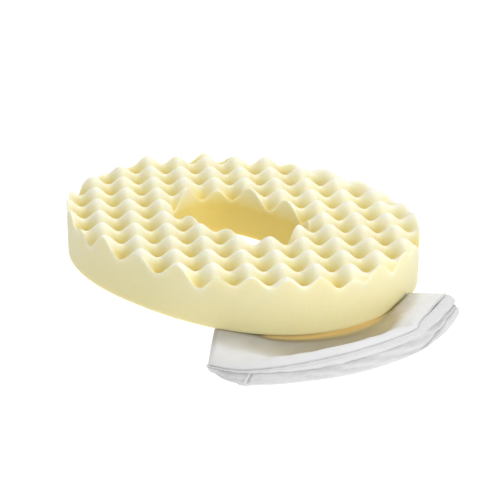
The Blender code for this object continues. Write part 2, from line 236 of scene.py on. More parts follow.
def foam_material():
    mat, tree, shader = new_material("foam_cells", (0.8, 0.7, 0.4), 0.92)
    depth = node(tree, "ShaderNodeAttribute", attribute_name="depth")
    coord = node(tree, "ShaderNodeTexCoord")
    # the foam's own cream-yellow with painted shade: crests creamy, hollows and lower walls painted a darker, more
    # saturated yellow
    tone_with_painted_shade = ramp(tree, [(0.0, srgb(242, 241, 228)), (0.14, srgb(240, 238, 217)),
                       (0.4, srgb(238, 233, 198)), (0.62, srgb(236, 227, 174)),
                       (0.85, srgb(234, 219, 144)), (1.0, srgb(229, 204, 112))], depth.outputs["Fac"])
    # painted highlight: crest lines, rims and the tops of the walls are painted paler, standing for light scattered
    # through thin edges
    edge = node(tree, "ShaderNodeAttribute", attribute_name="painted_highlight")
    painted_highlight = node(tree, "ShaderNodeMixRGB", blend_type="MIX")
    painted_highlight.inputs["Color2"].default_value = (*srgb(246, 245, 230), 1.0)
    tree.links.new(edge.outputs["Fac"], painted_highlight.inputs["Fac"])
    tree.links.new(tone_with_painted_shade.outputs["Color"], painted_highlight.inputs["Color1"])
    # slow unevenness through the block
    slow = node(tree, "ShaderNodeTexNoise", Scale=9.0, Detail=2.0)
    tree.links.new(coord.outputs["Object"], slow.inputs["Vector"])
    uneven = ramp(tree, [(0.3, (0.955, 0.95, 0.93)), (0.7, (1.0, 1.0, 1.0))], slow.outputs["Fac"])
    mix1 = node(tree, "ShaderNodeMixRGB", blend_type="MULTIPLY", Fac=1.0)
    tree.links.new(painted_highlight.outputs["Color"], mix1.inputs["Color1"])
    tree.links.new(uneven.outputs["Color"], mix1.inputs["Color2"])
    # open cells
    cells = node(tree, "ShaderNodeTexVoronoi", Scale=820.0)
    tree.links.new(coord.outputs["Object"], cells.inputs["Vector"])
    specks = ramp(tree, [(0.0, (0.86, 0.84, 0.78)), (0.45, (1.0, 1.0, 1.0))],
                  cells.outputs["Distance"])
    mix2 = node(tree, "ShaderNodeMixRGB", blend_type="MULTIPLY", Fac=0.55)
    tree.links.new(mix1.outputs["Color"], mix2.inputs["Color1"])
    tree.links.new(specks.outputs["Color"], mix2.inputs["Color2"])
    tree.links.new(mix2.outputs["Color"], shader.inputs["Base Color"])
    bump = node(tree, "ShaderNodeBump", Strength=0.35, Distance=0.0006)
    tree.links.new(cells.outputs["Distance"], bump.inputs["Height"])
    tree.links.new(bump.outputs["Normal"], shader.inputs["Normal"])
    shader.inputs["Subsurface Weight"].default_value = 0.60
    shader.inputs["Subsurface Radius"].default_value = (1.0, 0.8, 0.35)
    shader.inputs["Subsurface Scale"].default_value = 0.009
    shader.inputs["Sheen Weight"].default_value = 0.45
    shader.inputs["Sheen Roughness"].default_value = 0.35
    shader.inputs["Sheen Tint"].default_value = (1.0, 1.0, 0.96, 1.0)
    shader.inputs["Specular IOR Level"].default_value = 0.15
    return mat


def make_foam():
    n = 720
    t = np.linspace(0, 2 * np.pi, n, endpoint=False)
    outer = superellipse(FOAM_L, FOAM_W, FOAM_N, t)
    inner = superellipse(HOLE_L, HOLE_W, HOLE_N, t) + np.array(HOLE_C)
    radial = 110
    rim = 0.0006
    rows, tone_with_painted_shade, painted_highlight = [], [], []
    foot = superellipse(HOLE_L, HOLE_W + 0.0040, HOLE_N, t) + np.array(HOLE_C) + np.array([0.0, 0.0020])
    span = np.linalg.norm(outer - inner, axis=1)
    bottom = -FOAM_H

    def add(p, z, d, w):
        rows.append(np.column_stack([p, z]))
        tone_with_painted_shade.append(np.broadcast_to(d, (n,)).astype(float))
        painted_highlight.append(np.broadcast_to(w, (n,)).astype(float))

    # top, from the hole's rim to the outer rim, each rim softened a little
    for k, f in enumerate(np.linspace(0, 1, radial + 1)):
        share = np.full(n, f)
        drop = 0.0
        if k == 0:
            share, drop = np.clip(rim / span, 0, 0.4), 0.0001
        if k == radial:
            share, drop = 1 - np.clip(rim / span, 0, 0.4), 0.0001
        p = inner + (outer - inner) * share[:, None]
        z = wave(p[:, 0], p[:, 1])
        near_rim = np.exp(-np.minimum(share, 1 - share) * span / 0.0022)
        # painted shade: the deeper a point lies in a hollow, the darker and more saturated the yellow it is painted
        d = np.clip(-z / (2 * AMP), 0, 1)
        # painted highlight: paler along the crest and saddle lines and close to both rims
        w = 0.50 * ridge(p[:, 0], p[:, 1]) + 0.45 * near_rim
        add(p, z - drop, d, np.clip(w, 0, 0.85))
    # outer wall, from the rim down; the lower edge turns in a little
    zr = wave(outer[:, 0], outer[:, 1])
    out_n = outer / np.linalg.norm(outer, axis=1)[:, None]
    low_rim = np.clip(-zr / (2 * AMP), 0, 1)
    wall = np.concatenate([[0.0006, 0.0016, 0.003, 0.005, 0.008, 0.012],
                           np.linspace(0.017, 0.0445, 12)])

    def wall_height(z_rim, w):
        return np.where(w > 0.012, z_rim + (bottom + 0.0045 - z_rim) * (w / 0.0445), z_rim - w)

    # outer wall: painted shade, a darker yellow towards the bottom
    for w in wall:
        # painted highlight: the outer wall is painted paler just below its rim, most under the hollows
        z = wall_height(zr, w)
        d = zr - z
        add(outer, z, 0.52 + 0.10 * smoothstep((-z - 0.01) / 0.065),
            np.clip((0.30 + 0.62 * low_rim) * np.exp(-d / 0.0036), 0, 0.9))
    # the turned-in bottom edge is painted a deeper orange-yellow: painted shade and painted warm bounce light where the
    # foam meets the cloth
    for drop, back, d in ((0.0016, 0.0003, 0.62), (0.0007, 0.0009, 0.72), (0.0002, 0.0018, 0.80)):
        add(outer - out_n * back, np.full(n, bottom + drop), d, 0.0)
    # base
    in_n = inner - np.array(HOLE_C)
    in_n = in_n / np.linalg.norm(in_n, axis=1)[:, None]
    start, stop = outer - out_n * 0.0045, foot + in_n * 0.0030
    # the base's outer and inner rim rows are painted the deepest yellow: painted shade
    for f in np.linspace(0, 1, 12):
        add(start + (stop - start) * f, np.full(n, bottom), 0.95 if f < 0.05 or f > 0.95 else 0.62, 0.0)
    # hole wall, upwards
    zi = wave(inner[:, 0], inner[:, 1])
    # hole wall: painted shade, the foot and the lower wall painted a darker yellow than the rim
    add(foot + in_n * 0.0008, np.full(n, bottom + 0.0008), 0.95, 0.0)
    for w in wall[::-1]:
        # painted highlight: the hole wall is painted paler just below its rim
        z = wall_height(zi, w)
        d = zi - z
        lean = np.clip(-z / FOAM_H, 0, 1)[:, None]
        add(inner + (foot - inner) * lean, z, 0.34 + 0.60 * smoothstep((-z - 0.001) / 0.030),
            np.clip(0.55 * np.exp(-d / 0.0018), 0, 0.9))
    pts = np.array(rows)
    m = np.array(PLACE)
    pts = pts @ m[:3, :3].T + m[:3, 3]
    # close the loop: the last row joins the first
    pts = np.concatenate([pts, pts[:1]])
    tone_with_painted_shade.append(tone_with_painted_shade[0])
    painted_highlight.append(painted_highlight[0])
    obj = grid_mesh("convoluted_foam_ring", [(pts, True)], foam_material(),
                    layers={"depth": tone_with_painted_shade, "painted_highlight": painted_highlight})
    weld(obj)
    return obj


foam = make_foam()
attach(foam, "ring")
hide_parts("foam_ring")

# ------------------------------------------------------------- folded cover --
P = np.array([RING.x + 0.052, RING.y - 0.094])     # the hidden folded point
TH0, TH1 = math.radians(-53.6), math.radians(36.9)
#            t = 0      1/8     2/8     3/8     4/8     5/8     6/8     7/8     1
R_FRONT = (0.1580, 0.1775, 0.1875, 0.1965, 0.2110, 0.2275, 0.2465, 0.2640, 0.2795)
AT_FOAM = (0.0230, 0.0225, 0.0205, 0.0180, 0.0165, 0.0165, 0.0175, 0.0195, 0.0225)


def knots(t, *pairs):
    """Smooth curve through (t, value) knots that doesn't overshoot them."""
    t = np.asarray(t, float)
    kx = np.array([p[0] for p in pairs], float)
    ky = np.array([p[1] for p in pairs], float)
    h, d = np.diff(kx), np.diff(ky) / np.diff(kx)
    m = np.zeros(len(kx))
    m[0], m[-1] = d[0], d[-1]
    for i in range(1, len(kx) - 1):
        if d[i - 1] * d[i] > 0:
            w1, w2 = 2 * h[i] + h[i - 1], h[i] + 2 * h[i - 1]
            m[i] = (w1 + w2) / (w1 / d[i - 1] + w2 / d[i])
    x = np.clip(t, kx[0], kx[-1])
    i = np.clip(np.searchsorted(kx, x, side="right") - 1, 0, len(h) - 1)
    f = (x - kx[i]) / h[i]
    return ((2 * f ** 3 - 3 * f ** 2 + 1) * ky[i] + (f ** 3 - 2 * f ** 2 + f) * h[i] * m[i]
            + (-2 * f ** 3 + 3 * f ** 2) * ky[i + 1] + (f ** 3 - f ** 2) * h[i] * m[i + 1])


def seam_height(t):
    return knots(t, (0, .0150), (.03, .0165), (.10, .0188), (.25, .0232), (.375, .0262), (.5, .0302),
                 (.625, .0322), (.74, .0318), (.79, .0312), (.9, .0312), (1, .0304))


def seam_out(t):
    return knots(t, (0, .0005), (.05, .0), (.60, .0), (.70, -.0015), (.76, -.0020), (.80, -.0095),
                 (.84, -.0128), (.92, -.0138), (1, -.0112))


def crease_height(t):
    return knots(t, (0, .0135), (.03, .0150), (.10, .0162), (.25, .0174), (.375, .0162), (.5, .0180),
                 (.625, .0200), (.75, .0200), (.87, .0208), (.92, .0218), (.96, .0208), (1, .0180))


def crease_out(t):
    return knots(t, (0, -.0002), (.6, .0), (.75, -.0010), (.87, -.0038), (1, -.0030))


def second_height(t):
    return knots(t, (0, .0082), (.6, .0098), (.72, .0070), (.78, .0048), (.84, .0095), (.88, .0130),
                 (.92, .0160), (.96, .0165), (1, .0150))


def second_depth(t):
    """How deep the lower crease is; it opens towards the far corner."""
    return knots(t, (0, .0), (.76, .0), (.80, .0025), (.86, .0055), (1, .0070))


def ridge_up(t):
    return knots(t, (0, .0012), (.10, .0030), (.25, .0046), (.375, .0055), (.5, .0050), (.625, .0042),
                 (.75, .0030), (.80, .0014), (.9, .0004), (1, .0))


def sag_height(t):
    return knots(t, (0, .0205), (.125, .0202), (.25, .0185), (.375, .0165), (.5, .0152), (.625, .0155),
                 (.75, .0190), (.82, .0228), (.90, .0275), (1, .0300))


def fan(s, t, out=0.0):
    ang = TH0 + (TH1 - TH0) * t
    r = catmull(R_FRONT, t) * s + out
    return P[0] + r * np.cos(ang), P[1] + r * np.sin(ang)


def foam_gauge(x, y):
    return ((np.abs(2 * (x - RING.x) / FOAM_L)) ** FOAM_N
            + (np.abs(2 * (y - RING.y) / FOAM_W)) ** FOAM_N) ** (1 / FOAM_N)


_n = LEAN.to_3x3() @ Vector((0, 0, 1))
_b = PLACE @ Vector((0, 0, -FOAM_H))


def foam_under(x, y):
    return _b.z - (_n.x * (x - _b.x) + _n.y * (y - _b.y)) / _n.z


# where each ray from the folded point leaves the ring's outline
_tt = np.linspace(-0.06, 1.06, 81)
_redge = []
for _v in _tt:
    a_, b_ = 0.02, 0.30
    ang = TH0 + (TH1 - TH0) * _v
    for _ in range(40):
        m_ = (a_ + b_) / 2
        if foam_gauge(P[0] + m_ * math.cos(ang), P[1] + m_ * math.sin(ang)) > 1:
            b_ = m_
        else:
            a_ = m_
    _redge.append(a_)
_redge = np.array(_redge)


def polar(x, y):
    dx, dy = x - P[0], y - P[1]
    r = np.hypot(dx, dy)
    t = (np.arctan2(dy, dx) - TH0) / (TH1 - TH0)
    return r, np.where(r < 0.012, 0.5, t)


def cover_top(x, y):
    """Height of the folded cover's upper ply before its edge rolls."""
    r, t_raw = polar(x, y)
    t = np.clip(t_raw, 0, 1)
    edge = np.interp(t_raw, _tt, _redge)
    front = catmull(R_FRONT, t) + seam_out(t)
    gap = np.maximum(front - edge, 1e-4)
    u = (r - edge) / gap
    ur = 1 - 0.0085 / gap
    us = ur * knots(t, (0, .40), (.16, .50), (.32, .62), (.45, .66), (.6, .64), (.74, .52), (.84, .36), (.92, .20), (1, .12))
    pressed = foam_under(x, y) - 0.0004
    z_edge = np.minimum(catmull(AT_FOAM, t), pressed)
    z_sag, z_ridge = sag_height(t), seam_height(t) + ridge_up(t)
    z = np.where(u < us, z_edge + (z_sag - z_edge) * smoothstep(u / us),
                 z_sag + (z_ridge - z_sag) * smoothstep((u - us) / (ur - us)) ** 0.9)
    gap_edge = np.maximum(pressed - z_edge, 0)
    z_in = pressed - gap_edge * np.exp(-np.clip(edge - r, 0, None) / 0.030)
    z = np.where(u < 0, z_in, z)
    inside = foam_gauge(x, y) < 1.012
    return np.where(inside, np.minimum(z, pressed), z)


def outline(spacing):
    """The fan's outline as one smooth closed loop: the folded point, the left
    folded side, the bowed front, the far folded side, and back."""
    pts, lab, tp = [], [], []
    rb, ra = R_FRONT[0], R_FRONT[-1]
    for f in np.linspace(0, 1, 200, endpoint=False):
        pts.append((P[0] + rb * f * math.cos(TH0), P[1] + rb * f * math.sin(TH0)))
        lab.append(0), tp.append(0.0)
    for f in np.linspace(0, 1, 400, endpoint=False):
        x, y = fan(1.0, np.array(f))
        pts.append((float(x), float(y)))
        lab.append(1), tp.append(f)
    for f in np.linspace(1, 0, 300, endpoint=False):
        pts.append((P[0] + ra * f * math.cos(TH1), P[1] + ra * f * math.sin(TH1)))
        lab.append(2), tp.append(1.0)
    pts = np.array(pts)
    seg = np.linalg.norm(np.roll(pts, -1, 0) - pts, axis=1)
    along = np.concatenate([[0], np.cumsum(seg)])
    n = int(along[-1] / spacing)
    at = np.linspace(0, along[-1], n, endpoint=False)

    def lookup(v):
        v = np.append(v, v[0])
        return np.interp(at, along, v)
    x, y = lookup(pts[:, 0]), lookup(pts[:, 1])
    lab = np.array(lab)
    wb, wf, wa = (lookup((lab == k).astype(float)) for k in (0, 1, 2))
    tp = np.array(tp)
    t = lookup(tp)
    t[at > along[-1] - 3 * spacing] = 1.0

    def blur(v, sigma):
        half = int(4 * sigma / (along[-1] / n)) + 1
        k = np.arange(-half, half + 1) * (along[-1] / n)
        g = np.exp(-0.5 * (k / sigma) ** 2)
        g /= g.sum()
        wrap = np.concatenate([v[-half:], v, v[:half]])
        return np.convolve(wrap, g, "same")[half:-half]
    x, y = blur(x, 0.0032), blur(y, 0.0032)
    wb, wf, wa = blur(wb, 0.0032), blur(wf, 0.0032), blur(wa, 0.0032)
    d = np.stack([np.roll(x, -1) - np.roll(x, 1), np.roll(y, -1) - np.roll(y, 1)], axis=1)
    d /= np.linalg.norm(d, axis=1)[:, None]
    normal = np.stack([d[:, 1], -d[:, 0]], axis=1)
    return np.stack([x, y], axis=1), normal, wb, wf, wa, np.clip(t, 0, 1)


LOOP, NORM, WB, WF, WA, TT = outline(0.0011)
MID = np.array(fan(0.60, np.array(0.5)))
# offsets go along the outline's normal, and along the rays near the far corner,
# where the front and the folded side meet; they fade out down the folded side
_rr = np.linalg.norm(LOOP - P, axis=1)
_far = smoothstep((TT - 0.84) / 0.08)[:, None]
OUTDIR = NORM * (1 - _far) + (LOOP - P) / np.maximum(_rr, 1e-6)[:, None] / 0.85 * _far
PULL = np.where(TT > 0.5, np.maximum(WF, smoothstep((_rr - 0.10) / (R_FRONT[-1] - 0.106))), WF)


def cloth_material(name, colour):
    mat, tree, shader = new_material(name, colour, 0.85)
    coord = node(tree, "ShaderNodeTexCoord")
    slow = node(tree, "ShaderNodeTexNoise", Scale=22.0, Detail=3.0)
    tree.links.new(coord.outputs["Object"], slow.inputs["Vector"])
    c0 = tuple(c * 0.965 for c in colour)
    tint = ramp(tree, [(0.3, c0), (0.7, colour)], slow.outputs["Fac"])
    # plain weave: two crossed thread directions
    turn = node(tree, "ShaderNodeMapping")
    turn.inputs["Rotation"].default_value = (0.0, 0.0, math.radians(31))
    tree.links.new(coord.outputs["Object"], turn.inputs["Vector"])
    warp = node(tree, "ShaderNodeTexWave", wave_type="BANDS", bands_direction="X", Scale=520.0, Distortion=0.6)
    weft = node(tree, "ShaderNodeTexWave", wave_type="BANDS", bands_direction="Y", Scale=520.0, Distortion=0.6)
    tree.links.new(turn.outputs["Vector"], warp.inputs["Vector"])
    tree.links.new(turn.outputs["Vector"], weft.inputs["Vector"])
    both = node(tree, "ShaderNodeMath", operation="ADD")
    tree.links.new(warp.outputs["Fac"], both.inputs[0])
    tree.links.new(weft.outputs["Fac"], both.inputs[1])
    thread = ramp(tree, [(0.0, (0.94, 0.94, 0.94)), (1.0, (1.0, 1.0, 1.0))], both.outputs["Value"])
    mix = node(tree, "ShaderNodeMixRGB", blend_type="MULTIPLY", Fac=1.0)
    tree.links.new(tint.outputs["Color"], mix.inputs["Color1"])
    tree.links.new(thread.outputs["Color"], mix.inputs["Color2"])
    # painted shadow and painted bounce light: the cloth is painted tan where the ring shades it and golden right at the
    # ring's rim
    painted_shadow_bounce = node(tree, "ShaderNodeAttribute", attribute_name="painted_shadow_bounce")
    shadow_bounce_tint = ramp(tree, [(0.0, (1.0, 1.0, 1.0)), (0.45, (0.65, 0.56, 0.35)), (0.70, (0.93, 0.78, 0.40)),
                       (1.0, (0.97, 0.76, 0.29))], painted_shadow_bounce.outputs["Fac"])
    mix2 = node(tree, "ShaderNodeMixRGB", blend_type="MULTIPLY", Fac=1.0)
    tree.links.new(mix.outputs["Color"], mix2.inputs["Color1"])
    tree.links.new(shadow_bounce_tint.outputs["Color"], mix2.inputs["Color2"])
    tree.links.new(mix2.outputs["Color"], shader.inputs["Base Color"])
    # painted glow: the cloth nearest the ring's rim gives off a weak golden light, standing for light that comes
    # through the foam's rim
    glow = node(tree, "ShaderNodeMapRange")
    glow.inputs["From Min"].default_value = 0.55
    glow.inputs["From Max"].default_value = 1.0
    glow.inputs["To Min"].default_value = 0.0
    glow.inputs["To Max"].default_value = 0.22
    tree.links.new(painted_shadow_bounce.outputs["Fac"], glow.inputs["Value"])
    tree.links.new(glow.outputs["Result"], shader.inputs["Emission Strength"])
    shader.inputs["Emission Color"].default_value = (1.0, 0.70, 0.26, 1.0)
    # small creases the mesh doesn't carry
    crease = node(tree, "ShaderNodeTexNoise", Scale=95.0, Detail=4.0, Roughness=0.55)
    tree.links.new(coord.outputs["Object"], crease.inputs["Vector"])
    b1 = node(tree, "ShaderNodeBump", Strength=0.22, Distance=0.0010)
    tree.links.new(crease.outputs["Fac"], b1.inputs["Height"])
    b2 = node(tree, "ShaderNodeBump", Strength=0.35, Distance=0.00012)
    tree.links.new(both.outputs["Value"], b2.inputs["Height"])
    tree.links.new(b1.outputs["Normal"], b2.inputs["Normal"])
    tree.links.new(b2.outputs["Normal"], shader.inputs["Normal"])
    shader.inputs["Sheen Weight"].default_value = 0.10
    shader.inputs["Specular IOR Level"].default_value = 0.2
    return mat


CLOTH = cloth_material("cover_cloth", srgb(224, 224, 225))
# painted shade: the side band is the cover's own cloth painted darker, for the shade on its upright strips; the zip
# strips use it too
BAND_CLOTH_SHADED = cloth_material("cover_band_cloth_shaded", srgb(213, 213, 214))
# painted shade: the join seam's tube is the cover's own cloth painted much darker, for the shadow line beside the join
JOIN_CLOTH_SHADED = cloth_material("cover_join_cloth_shaded", srgb(176, 176, 177))
# painted shade: the top seam's roll is the cover's own cloth painted darker, for the shadow line along the seam
SEAM_CLOTH_SHADED = cloth_material("cover_seam_cloth_shaded", srgb(203, 203, 204))

INWARD = np.array([0.0, 0.0003, 0.0007, 0.0012, 0.0018, 0.0026, 0.0036, 0.0048, 0.0062, 0.0078,
                   0.0097, 0.012, 0.015, 0.019, 0.024, 0.030])


def edge_roll(m, width):
    """0 at the roll's inner side, 1 at the outline, along a quarter ellipse."""
    k = np.clip((width - m) / width, 0, 1)
    return 1 - np.sqrt(np.clip(1 - k * k, 0, 1))


def painted_shadow_bounce_at(x, y):
    """How much painted shadow and painted golden bounce light the cloth gets: most at the ring's rim, fading 24 mm
    outside it.
    """
    r, t = polar(x, y)
    away = r - np.interp(t, _tt, _redge)
    t = np.clip(t, 0, 1)
    wide = knots(t, (0, .036), (.2, .046), (.4, .062), (.6, .054), (.75, .048), (.85, .036), (1, .022))
    near = knots(t, (0, .1), (.2, .1), (.3, .35), (.39, .95), (.8, 1.0), (1, .4))
    amount = knots(t, (0, .12), (.15, .16), (.3, .26), (.4, .34), (.55, .36), (.7, .43), (.8, .50), (.9, .30), (1, .10))
    close = knots(t, (0, 1.0), (.15, 1.0), (.3, .25), (.4, .35), (.55, .65), (.7, 1.0), (1, 1.0))
    # painted shadow spreading out from the rim, painted golden bounce light close to the rim, and painted shadow under
    # the ring (away < 0)
    shadow_bounce_tint = amount * (close + (1 - close) * smoothstep(away / (0.55 * wide)))
    v = shadow_bounce_tint * (1 - smoothstep((away - 0.6 * wide) / (0.5 * wide))) + 0.50 * near * np.exp(-(away / 0.0080) ** 2)
    under = shadow_bounce_tint * 0.6 + (0.80 * near + 0.05) * np.exp(-(away / 0.016) ** 2)
    return np.clip(np.where(away < 0, under, v), 0, 1)


def top_ply():
    """Upper ply: rises from under the ring to the ridge, rolls into the seam
    at the front, and wraps round the folded sides."""
    z_seam = seam_height(TT)
    bound = LOOP + OUTDIR * (seam_out(TT) * PULL)[:, None]
    reach = np.linalg.norm(bound - MID, axis=1)
    dirs = (MID - bound) / reach[:, None]
    steps = [np.full(len(reach), m) for m in INWARD]
    steps += [INWARD[-1] + (reach - INWARD[-1]) * f for f in np.linspace(0.0, 1.0, 36)[1:]]
    rows = []
    for m in steps[::-1]:
        p = bound + dirs * m[:, None]
        full = cover_top(p[:, 0], p[:, 1])
        z = full - WB * edge_roll(m, 0.0080) * full * 0.48 \
                 - WA * edge_roll(m, 0.0035) * full * 0.10 \
                 - WF * edge_roll(m, 0.0080) * np.maximum(full - z_seam, 0)
        free = smoothstep((foam_gauge(p[:, 0], p[:, 1]) - 1.01) / 0.06)
        far_from_edge = smoothstep((m - 0.002) / 0.012)
        r, t = polar(p[:, 0], p[:, 1])
        ripple = 0.0007 * smooth_noise(p[:, 0], p[:, 1], 3, 0.034) \
            + 0.0005 * smooth_noise(p[:, 0], p[:, 1], 8, 0.013) * smoothstep((t - 0.45) / 0.3)
        # a dimple beside the far end of the ridge
        dx, dy = fan(0.915, np.array(0.775))
        dimple = -0.0022 * np.exp(-(((p[:, 0] - dx) / 0.008) ** 2 + ((p[:, 1] - dy) / 0.008) ** 2))
        rows.append(np.column_stack([p, z + free * far_from_edge * (ripple + dimple)]))
    z0 = rows[-1][:, 2].copy()
    for k, phi in enumerate(np.radians([12, 25, 40, 55, 70, 90])):
        q = (k + 1) / 6
        out_b, z_b = -0.0080 * (1 - math.cos(phi)), z0 * (1 - math.sin(phi)) + 0.0004 * math.sin(phi)
        out_a, z_a = -0.0045 * (1 - math.cos(phi)), z0 * (1 - 0.30 * math.sin(phi))
        out_f, z_f = -0.0002 - 0.0030 * q, z0 - 0.0004 - 0.0012 * q
        p = bound + NORM * (WB * out_b + WA * out_a + WF * out_f)[:, None]
        rows.append(np.column_stack([p, WB * z_b + WA * z_a + WF * z_f]))
    last = rows[-1][:, 2]
    for d in (0.004, 0.009):
        p = bound + NORM * (WB * (-0.0080) + WA * (-0.0045) + WF * (-0.0032) - d)[:, None]
        rows.append(np.column_stack([p, last]))
    return np.array(rows)


def floor_out(t):
    return knots(t, (0, -.0105), (.03, -.0075), (.07, -.0030), (.12, -.0008), (.2, .0), (1, .0))


def floor_ply():
    """Lower ply, flat on the floor, turned up to the bottom seam at the front."""
    rows = []
    base = LOOP + NORM * (floor_out(TT) * WF - 0.004 * WB)[:, None]
    reach = np.linalg.norm(base - MID, axis=1)
    dirs = (MID - base) / reach[:, None]
    for f in np.linspace(1, 0, 20):
        m = 0.010 + (reach - 0.010) * f
        rows.append(np.column_stack([base + dirs * m[:, None], np.full(len(base), 0.0004)]))
    for m, z in ((0.0070, 0.0004), (0.0045, 0.0005), (0.0028, 0.0009), (0.0014, 0.0016),
                 (0.0006, 0.0024), (0.0008, 0.0030)):
        back = m + 0.003 * (1 - WF)
        p = base - NORM * back[:, None]
        rows.append(np.column_stack([p, WF * z + (1 - WF) * 0.0006]))
    return np.array(rows)


def thicken(obj, thickness):
    mod = obj.modifiers.new("cloth", "SOLIDIFY")
    mod.thickness = thickness
    mod.offset = -1.0
    apply_modifiers(obj)
    obj.data.shade_smooth()


def cloth_piece(name, grids, mat=CLOTH, thickness=0.0005):
    # painted shadow and painted bounce light from the ring, only on cloth above about 10 mm
    layer = [painted_shadow_bounce_at(g[..., 0].reshape(-1), g[..., 1].reshape(-1))
             * smoothstep((g[..., 2].reshape(-1) - 0.010) / 0.004) for g, _ in grids]
    obj = grid_mesh(name, grids, mat, layers={"painted_shadow_bounce": layer})
    thicken(obj, thickness)
    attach(obj, "folded_cover")
    return obj


def inner_ply(level, inset):
    reach = np.linalg.norm(LOOP - MID, axis=1)
    dirs = (MID - LOOP) / reach[:, None]
    rows = []
    for f in np.linspace(1, 0, 16):
        p = LOOP + dirs * (inset + (reach - inset) * f)[:, None]
        rows.append(np.column_stack([p, cover_top(p[:, 0], p[:, 1]) * level]))
    return np.array(rows)


upper, lower = top_ply(), floor_ply()
outer_half = cloth_piece("cover_outer_panel", [(upper, True), (lower[:, ::-1], True)])
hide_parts("cover_top_panel", "cover_bottom_panel")
folded_half = cloth_piece("cover_outer_panel_folded_in",
                          [(inner_ply(0.585, 0.012), True), (inner_ply(0.500, 0.012)[:, ::-1], True)])
inner_panel = cloth_piece("cover_inner_panel",
                          [(inner_ply(k, 0.014), True) for k in (0.86, 0.73, 0.36, 0.20)])
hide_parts("cover_folded_top_plies", "cover_folded_bottom_plies")


def band_columns():
    """Columns of the outline along the front and a little round both corners."""
    keep = WF > 0.03
    start = np.argmax(keep & ~np.roll(keep, 1))
    return (start + np.arange(int(keep.sum()))) % len(WF)


COLS = band_columns()
T, WFC = TT[COLS], WF[COLS]
TUCK = -0.009 * (1 - WFC) ** 2


def at_front(out, z):
    p = LOOP[COLS] + OUTDIR[COLS] * out[:, None] + NORM[COLS] * TUCK[:, None]
    return np.column_stack([p, z])


def through(points, steps):
    """Catmull-Rom through stations of (out, z) arrays."""
    pts = np.array([np.stack(p) for p in points])
    out = []
    n = len(pts) - 1
    for k in range(n):
        p0 = pts[k - 1] if k else 2 * pts[0] - pts[1]
        p1, p2 = pts[k], pts[k + 1]
        p3 = pts[k + 2] if k + 2 <= n else 2 * pts[n] - pts[n - 1]
        for f in np.linspace(0, 1, steps, endpoint=False):
            out.append(0.5 * (2 * p1 + (p2 - p0) * f + (2 * p0 - 5 * p1 + 4 * p2 - p3) * f * f
                              + (3 * p1 - p0 - 3 * p2 + p3) * f ** 3))
    out.append(pts[-1])
    return [(o[0], o[1]) for o in out]


def join_at(z):
    """Where the band's join seam stands along the front, leaning as it rises."""
    return 0.158 * 0.33 + 0.54 * (z - 0.003)


